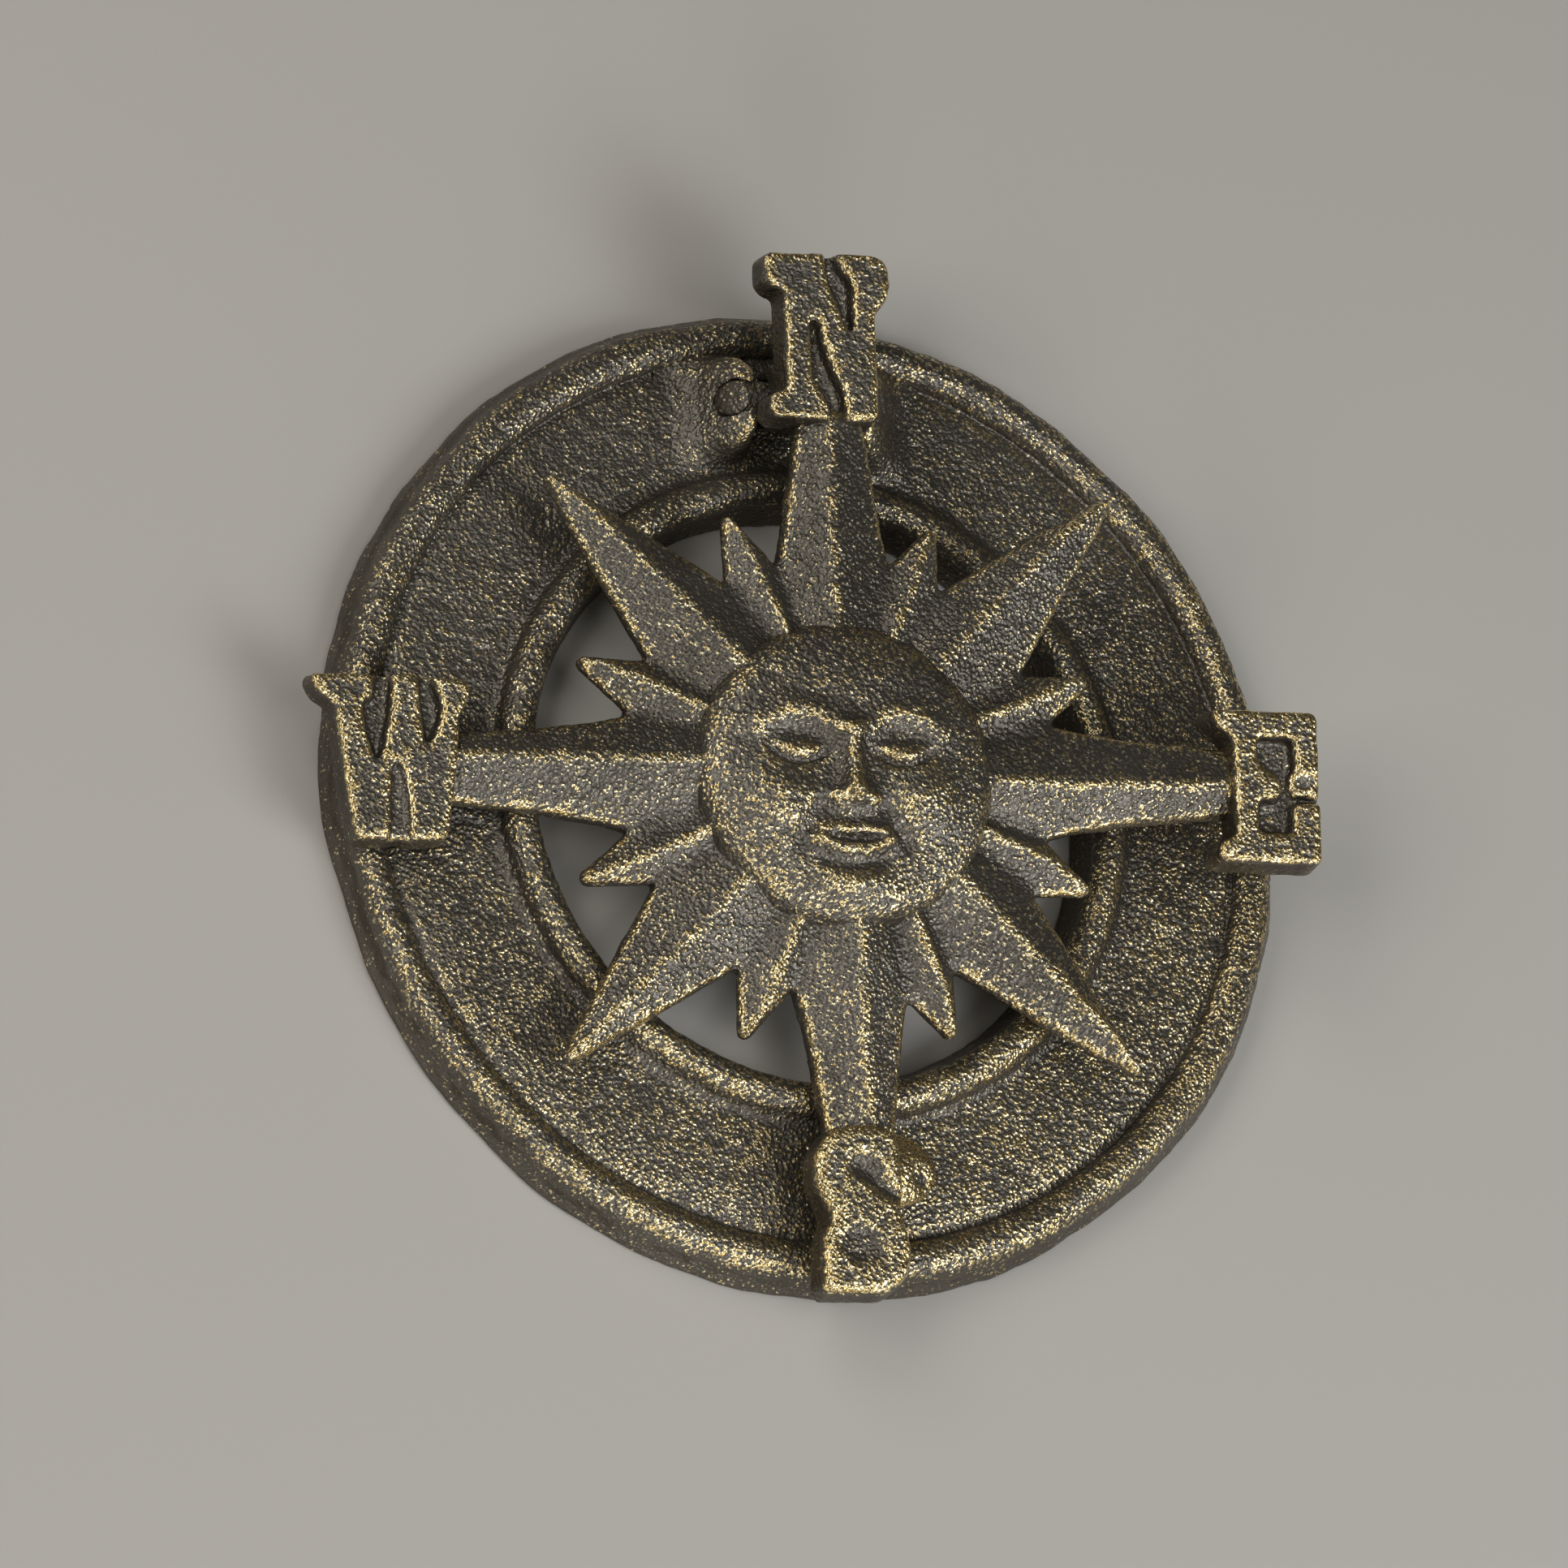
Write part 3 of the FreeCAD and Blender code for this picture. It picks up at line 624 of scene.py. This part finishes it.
def face_height(x, y):
    """The front of the sun's face above the sun plane: a calm, even-featured face on a dome.

    Features that come in pairs are drawn once, by their distance from the middle line.
    """
    out = np.hypot(x, y) / FACE_RADIUS
    side = np.abs(x)
    level = 5.0 - 1.6 * out**2 - 4.3 * np.clip(out, 0, 1.2) ** 14
    forehead = bump(x, y, (0, 14.0), (11, 6.0), 0.7)
    eye_sockets = bump(side, y, (8.4, 3.6), (5.4, 3.8), -1.8)
    brows = stroke(side, y, curve(((2.8, 6.8), (8.6, 11.6), (15.0, 7.0))), 2.3, 1.0)
    eyelids = bump(side, y, (8.6, 3.0), (4.4, 2.4), 2.3)
    lid_lines = stroke(side, y, curve(((4.6, 2.6), (8.8, -0.6), (13.0, 2.8))), 0.75, -1.0)
    nose = stroke(x, y, [(0, 6.4), (0, -3.6)], 1.9, 1.9)
    nose_tip = bump(x, y, (0, -3.8), (2.7, 2.4), 1.5)
    nostrils = bump(side, y, (3.0, -4.8), (1.7, 1.4), 1.1)
    cheeks = bump(side, y, (12.4, -4.4), (6.0, 6.0), 1.9)
    cheek_lines = stroke(side, y, curve(((5.0, -5.8), (7.8, -8.2), (8.8, -11.6))), 1.6, -0.6)
    upper_lip = stroke(side, y, curve(((0, -9.8), (2.4, -9.3), (5.8, -10.4))), 1.2, 1.0)
    lower_lip = stroke(side, y, curve(((0, -12.8), (3.2, -12.9), (5.2, -11.4))), 1.4, 1.4)
    mouth = stroke(side, y, curve(((0, -11.2), (3.6, -11.6), (7.0, -9.8))), 0.75, -0.9)
    chin_line = stroke(side, y, curve(((0, -15.6), (2.6, -15.6), (4.8, -14.4))), 1.3, -0.6)
    chin = bump(x, y, (0, -18.6), (5.4, 3.2), 1.4)
    for feature in (
        forehead, eye_sockets, brows, eyelids, lid_lines, nose, nose_tip, nostrils,
        cheeks, cheek_lines, upper_lip, lower_lip, mouth, chin_line, chin,
    ):
        level = level + feature
    return level


def make_face():
    """The sun's face and the drum behind it."""
    edge = FACE_RADIUS + 1.2
    low, high = (-edge, -edge, CASTING_BACK - 1), (edge, edge, 10)
    block = Block(low, high, 0.36)
    # The face slopes, so the distance to it is a little less than the height above it.
    slant, draft = 0.82, 0.06

    def field(x, y, z):
        front = (z - face_height(x, y)) * slant
        wall = np.hypot(x, y) - FACE_RADIUS + draft * (z + 2)
        return smooth_max(smooth_max(front, wall, 2.4), CASTING_BACK - z, 0.8)

    block.join(low, high, field)
    points, faces = skin(block)
    nodes = ("sun_face",)
    make_piece("sun_face_skin", points, faces, IRON, "knocker", nodes, rub_and_shade=0.85, on_sun=True)


def ray_field(turn, widths, root, tip, ridge_shift):
    """A gabled ray. widths are (distance, half width); root and tip are (edge, ridge, back) levels."""
    cos, sin = math.cos(math.radians(turn)), math.sin(math.radians(turn))
    stations, halves = np.array(widths, float).T
    start, end = stations[0], stations[-1]
    root, tip = np.array(root, float), np.array(tip, float)
    most_shift, draft = 0.5, 0.1

    def field(x, y, z):
        along = x * cos + y * sin
        across = y * cos - x * sin
        half = np.interp(along, stations, halves).astype(np.float32)
        share = np.clip((along - start) / (end - start), 0, 1)
        edge, ridge, back = (root[i] + share * (tip[i] - root[i]) for i in range(3))
        crest = np.clip(ridge_shift, -most_shift * half, most_shift * half)
        left, right = half + crest, half - crest
        rise = ridge - edge
        left_face = ((crest - across) * rise + (z - ridge) * left) / np.hypot(rise, left)
        right_face = ((across - crest) * rise + (z - ridge) * right) / np.hypot(rise, right)
        roof = smooth_max(left_face, right_face, 0.6)
        wall = np.abs(across) - half + draft * (z - edge)
        solid = smooth_max(smooth_max(roof, wall, 0.9), back - z, 1.0)
        return smooth_max(solid, np.maximum(start - along, along - end), 1.2)

    return field


# Each cardinal ray is (turn, end, ridge shift), each diagonal ray (turn, ridge shift) and each short ray
# (tip, ridge shift). Turns are in degrees from east to north. A ridge shift moves the ridge to one side.
CARDINAL_RAYS = {
    "n": (89.4, 60.5, 0.8), "e": (1.5, 66.8, -0.9), "s": (271.3, 60.5, 1.0), "w": (180.4, 67.6, -1.8),
}
DIAGONAL_RAYS = {"ne": (45.3, 1.6), "nw": (135, -1.4), "sw": (225, 0.3), "se": (315.8, 1.5)}
SHORT_RAYS = {
    "ene": (46.0, 0.6), "nne": (45.0, 0.3), "nnw": (46.0, -1.1), "wnw": (46.6, -1.2),
    "wsw": (47.4, 0.2), "ssw": (46.4, 1.5), "sse": (45.4, 1.8), "ese": (44.8, 1.8),
}
FIRST_SHORT_RAY = 22.5
RAY_ROOT = 20
RAY_TOP = 4


def add_ray(block, turn, widths, root, tip, shift):
    """Joins one ray to the block, inside the smallest upright box that holds it."""
    cos, sin = math.cos(math.radians(turn)), math.sin(math.radians(turn))
    margin = max(half for _, half in widths) + 2
    ends = np.array([(d * cos, d * sin) for d in (widths[0][0], widths[-1][0])])
    spread = margin * np.array((max(abs(sin), 0.35), max(abs(cos), 0.35)))
    low = (*(ends.min(axis=0) - spread), CASTING_BACK - 1)
    high = (*(ends.max(axis=0) + spread), RAY_TOP)
    block.join(low, high, ray_field(turn, widths, root, tip, shift), 1.2)


def make_rays():
    """All sixteen rays as one skin."""
    block = Block((-69, -63, CASTING_BACK - 1), (69, 63, RAY_TOP), 0.45)
    for turn, end, shift in CARDINAL_RAYS.values():
        widths = [(RAY_ROOT, 9.9), (34, 9.6), (40, 8.2), (50, 6.7), (end, 5.3)]
        add_ray(block, turn, widths, (-1.6, 2.6, -5), (-1.7, 0.4, -4.6), shift)
    for turn, shift in DIAGONAL_RAYS.values():
        widths = [(RAY_ROOT, 10.8), (33, 9.6), (50, 5.4), (67.3, 0.8)]
        add_ray(block, turn, widths, (-1.5, 2.5, -5), (-0.9, 0.3, -2.6), shift)
    for number, (tip, shift) in enumerate(SHORT_RAYS.values()):
        widths = [(RAY_ROOT, 5.4), (35, 4.9), (tip, 0.8)]
        turn = FIRST_SHORT_RAY + number * 45
        add_ray(block, turn, widths, (-2.0, 1.5, -4.5), (-1.7, -0.6, -3.4), shift)
    points, faces = skin(block)
    nodes = [f"cardinal_ray_{n}" for n in CARDINAL_RAYS] + [f"diagonal_ray_{n}" for n in DIAGONAL_RAYS]
    nodes += [f"short_ray_{n}" for n in SHORT_RAYS]
    make_piece("sun_rays", points, faces, IRON, "knocker", nodes, flat_rub=0.2, on_sun=True)


# ---- letters ----------------------------------------------------------------------------------------

# Outlines and counters are in each letter's own frame, 27 mm tall. A counter is (depth, outline).
# "slope" is how far a counter's walls lean, and "soft" how round the letter's front edge is.
LETTERS = {
    "n": {
        "outline": [
            (-10.4, 13.6), (-2.0, 13.9), (4.5, 14.4), (8.0, 14.1), (10.5, 12.4), (10.5, 8.4), (9.6, 6.2),
            (7.9, 4.8), (7.7, -13.5), (2.4, -13.6), (0.9, -13.2), (-0.3, -13.6), (-10.3, -13.5),
            (-10.3, -9.9), (-7.3, -9.0), (-7.3, 7.6), (-10.3, 8.6),
        ],
        "counters": [
            (2.6, [(-0.6, 16.0), (1.4, 16.0), (2.2, 11.5), (4.2, 9.4), (4.3, 4.5), (4.2, 1.2), (3.0, 1.4),
                   (1.2, 5.4), (-0.1, 10.0)]),
            (2.6, [(-3.3, 2.9), (-1.6, 2.9), (-0.6, -2.4), (0.9, -6.4), (2.2, -9.2), (2.7, -15.5),
                   (0.2, -15.5), (-1.0, -10.0), (-3.2, -7.4)]),
        ],
        "centre": (-0.1, 71.9), "back": -4.4, "slope": 0.22, "soft": 0.9,
    },
    "e": {
        "outline": [
            (-8.5, 13.0), (-8.4, 11.0), (-5.0, 8.4), (-5.0, -7.8), (-8.0, -9.0), (-8.1, -11.9),
            (9.3, -12.1), (9.5, 13.0),
        ],
        "counters": [
            (2.6, [(-1.1, 8.8), (-1.2, 4.6), (0.4, 2.9), (2.6, 2.3), (2.7, -1.3), (-1.2, -1.6),
                   (-1.3, -7.2), (4.6, -7.3), (4.8, -2.2), (12.0, -2.1), (12.0, -0.9), (4.6, -0.5),
                   (4.7, 2.2), (5.5, 3.4), (5.4, 8.8)]),
            (0.8, [(4.0, 2.4), (12.0, 2.4), (12.0, -1.6), (4.0, -1.2)]),
        ],
        "centre": (70.7, 0.0), "back": -4.8, "slope": 0.22, "soft": 0.9,
    },
    "s": {
        "outline": [
            (-6.8, -13.5), (4.2, -13.2), (7.4, -10.6), (8.2, -6.0), (6.6, 0.4), (6.9, 3.0), (7.0, 11.2),
            (5.2, 13.4), (0.0, 14.0), (-4.8, 12.6), (-7.5, 8.4), (-7.4, 4.0), (-4.8, -1.4), (-6.4, -3.8),
        ],
        "counters": [
            (1.4, [(-1.9, 8.6), (1.2, 9.6), (4.0, 8.0), (4.6, 5.2), (8.4, 2.6), (8.4, 0.4), (4.0, 2.0),
                   (-1.6, 5.6)]),
            (0.7, [(-2.6, -2.6), (1.2, -2.6), (4.0, -5.6), (3.2, -8.2), (-0.4, -8.8), (-3.2, -7.4),
                   (-4.2, -4.2)]),
        ],
        "centre": (-0.2, -70.6), "back": -4.2, "slope": 1.0, "soft": 1.8,
    },
    "w": {
        "outline": [
            (-13.2, 13.2), (3.0, 13.4), (12.8, 13.0), (12.9, 9.6), (11.0, 7.4), (10.6, 0.0),
            (8.8, -12.8), (2.4, -13.4), (0.6, -12.8), (-1.2, -13.4), (-6.6, -13.2), (-8.4, 0.6),
            (-9.2, 8.6), (-12.4, 10.4),
        ],
        "counters": [
            (2.2, [(-3.1, 15), (0.5, 15), (0, 7.5), (-1.6, 0.4), (-2.8, -0.9), (-4.4, 3.4), (-5.0, 8.8),
                   (-3.1, 9.8)]),
            (2.2, [(4.1, 15), (6.4, 15), (8.3, 8.8), (8.0, 5.8), (6.4, 2.4), (5.2, 2.4), (4.6, 7.0)]),
            (1.2, [(-0.3, -0.8), (1.3, -0.8), (2.5, -7.0), (2.7, -15), (-1.4, -15), (-0.7, -7.0)]),
        ],
        "centre": (-74.8, 0.0), "back": -3.3, "slope": 0.3, "soft": 0.9,
    },
}


def make_letter(key, centre, outline, counters, back, slope, soft):
    """A cast letter: a block with soft edges whose counters are sunk with sloping walls."""
    outline = rounded(outline)
    draft = 0.1
    margin = 1.5 + draft * (LETTER_FRONT - back)
    low = (*(outline.min(axis=0) - margin), back - 1)
    high = (*(outline.max(axis=0) + margin), LETTER_FRONT + 1.5)
    block = Block(low, high, 0.36)
    spans, x, y, z = block.window(low, high)
    flat_x, flat_y = x[:, :, 0], y[:, :, 0]
    wall = outline_distance(flat_x, flat_y, outline)[:, :, None] + draft * (z - LETTER_FRONT)
    solid = smooth_max(wall, z - LETTER_FRONT, soft)
    solid = smooth_max(solid, back - z, 0.8)
    for sink, counter in counters:
        reach = outline_distance(flat_x, flat_y, rounded(counter))[:, :, None]
        hollow = (reach + slope * (LETTER_FRONT - z)) / math.hypot(1, slope)
        hollow = smooth_max(hollow, LETTER_FRONT - sink - z, 1.0)
        solid = smooth_max(solid, -hollow, 0.8)
    block.value[spans] = solid
    points, faces = skin(block)
    points = points + (*centre, 0)
    name = f"letter_{key}"
    make_piece(f"{name}_skin", points, faces, IRON, "knocker", (name,), on_sun=True)


def make_lug():
    """The knuckle under the N, bored for the pin."""
    low, high = (-LUG_HALF - 1, PIN_Y - 7, 6), (LUG_HALF + 1, PIN_Y + 7, 21)
    block = Block(low, high, 0.4)

    def field(x, y, z):
        round_end = np.hypot(y - PIN_Y, np.minimum(z - PIN_Z, 0)) - LUG_RADIUS
        solid = smooth_max(round_end, np.abs(x) - LUG_HALF, 1.0)
        solid = smooth_max(solid, z - LUG_TOP - 0.06 * (y - PIN_Y) - 0.07 * x, 0.8)
        return np.maximum(solid, PIN_RADIUS + PIN_GAP_IN_LUG - np.hypot(y - PIN_Y, z - PIN_Z))

    block.join(low, high, field)
    points, faces = skin(block)
    nodes = ("hinge_lug",)
    make_piece("hinge_lug_skin", points, faces, IRON, "knocker", nodes, grain=0.5)


def make_knob():
    """The striker knob under the S, with a shallow dent in the end that shows."""
    centre = np.array((5.5, -62.8, 9.05))
    half = np.array((10.2, 6.5, 3.55))
    low, high = centre - half - 1.5, centre + half + (1.5, 1.5, 3.5)
    block = Block(low, high, 0.42)
    dent_place, dent_reach, dent_depth = (0.66, -0.24), (0.22, 0.32), 0.5
    # Size counts in half widths of the knob, and this turns it into about millimetres.
    half_width = 3.6

    def field(x, y, z):
        u, v, w = (x - centre[0]) / half[0], (y - centre[1]) / half[1], (z - centre[2]) / half[2]
        size = np.sqrt(u * u + v * v + w * w)
        dent = bump(u, v, dent_place, dent_reach, dent_depth) * (w > 0)
        return (size - 1) * half_width * np.clip(size, 0.6, 1.4) + dent

    block.join(low, high, field)
    points, faces = skin(block)
    nodes = ("striker_knob",)
    make_piece("striker_knob_skin", points, faces, IRON, "knocker", nodes, rub_and_shade=1.7, grain=0.8)


make_plate()
make_ear("ear_west_skin", "hinge_ear_west", -1)
make_ear("ear_east_skin", "hinge_ear_east", 1)
make_pin()
make_face()
make_rays()
for letter, shape in LETTERS.items():
    make_letter(letter, **shape)
make_lug()
make_knob()

# ---- floor, light and camera ------------------------------------------------------------------------

# Sizes and distances here are in metres, light angles in degrees, and the camera's aim in millimetres.
FLOOR_HALF = 3
FLOOR_DROP = 0.0001
LIGHT_DISTANCE = 1.2
LIGHT_SIZE = 0.6
# Each soft box is (name, azimuth, elevation, power, colour).
LIGHTS = (
    ("key", -45, 42, 5.5, (0.95, 1.0, 1.08)),
    ("west", 180, 42, 3.1, (1, 1, 1)),
    ("north_west", 135, 42, 2.2, (1, 1, 1)),
    ("low_south", 262, 22, 2.6, (1, 1, 1)),
    ("top", -60, 75, 1.3, (1, 1, 1)),
)
WORLD_STRENGTH = 0.035
CAMERA_TILT = math.radians(27.39)
CAMERA_AZIMUTH = math.radians(217.38)
CAMERA_ROLL = math.radians(-0.19)
CAMERA_AIM = (-2.59, 3.36, 0.0)
CAMERA_DISTANCE = 1.8
CAMERA_LENS = 257.6
CAMERA_SENSOR = 36


def make_floor():
    """A plain pale floor that the plate lies on."""
    side = FLOOR_HALF
    corners = [(-side, -side, 0), (side, -side, 0), (side, side, 0), (-side, side, 0)]
    mesh = bpy.data.meshes.new("floor")
    mesh.from_pydata(corners, [], [(0, 1, 2, 3)])
    floor = bpy.data.objects.new("floor", mesh)
    bpy.context.scene.collection.objects.link(floor)
    floor.location.z = -FLOOR_DROP
    nodes = Nodes("pale_floor")
    colour = (0.602, 0.565, 0.499, 1)
    nodes.surface(nodes.add("ShaderNodeBsdfPrincipled", Base_Color=colour, Roughness=0.85))
    mesh.materials.append(nodes.material)


def add_light(name, azimuth, elevation, power, colour):
    """A square soft box that looks at the middle of the plate; azimuth is from +X towards +Y."""
    light = bpy.data.lights.new(name, "AREA")
    light.shape = "SQUARE"
    light.size = LIGHT_SIZE
    light.energy = power
    light.color = colour
    lamp = bpy.data.objects.new(name, light)
    a, e = math.radians(azimuth), math.radians(elevation)
    direction = Vector((math.cos(e) * math.cos(a), math.cos(e) * math.sin(a), math.sin(e)))
    lamp.location = direction * LIGHT_DISTANCE
    lamp.rotation_euler = direction.to_track_quat("Z", "Y").to_euler()
    bpy.context.scene.collection.objects.link(lamp)


def add_world():
    """A faint even light from all round."""
    world = bpy.data.worlds.new("studio")
    world.use_nodes = True
    background = world.node_tree.nodes["Background"]
    background.inputs["Color"].default_value = (1.0, 1.0, 1.0, 1)
    background.inputs["Strength"].default_value = WORLD_STRENGTH
    bpy.context.scene.world = world


def add_camera():
    """The picture's view: a long lens, 27 degrees off the plate's normal, from the south-west."""
    aim = Vector(CAMERA_AIM) * MM
    hinge = Vector((-math.sin(CAMERA_AZIMUTH), math.cos(CAMERA_AZIMUTH), 0))
    turn = Matrix.Rotation(CAMERA_TILT, 3, hinge) @ Matrix.Rotation(CAMERA_ROLL, 3, "Z")
    camera_data = bpy.data.cameras.new("camera")
    camera_data.sensor_width = CAMERA_SENSOR
    camera_data.lens = CAMERA_LENS
    camera = bpy.data.objects.new("camera", camera_data)
    place = aim + turn @ Vector((0, 0, CAMERA_DISTANCE))
    camera.matrix_world = Matrix.Translation(place) @ turn.to_4x4()
    bpy.context.scene.collection.objects.link(camera)
    bpy.context.scene.camera = camera


make_floor()
for light in LIGHTS:
    add_light(*light)
add_world()
bpy.context.scene.view_settings.view_transform = "Standard"
add_camera()
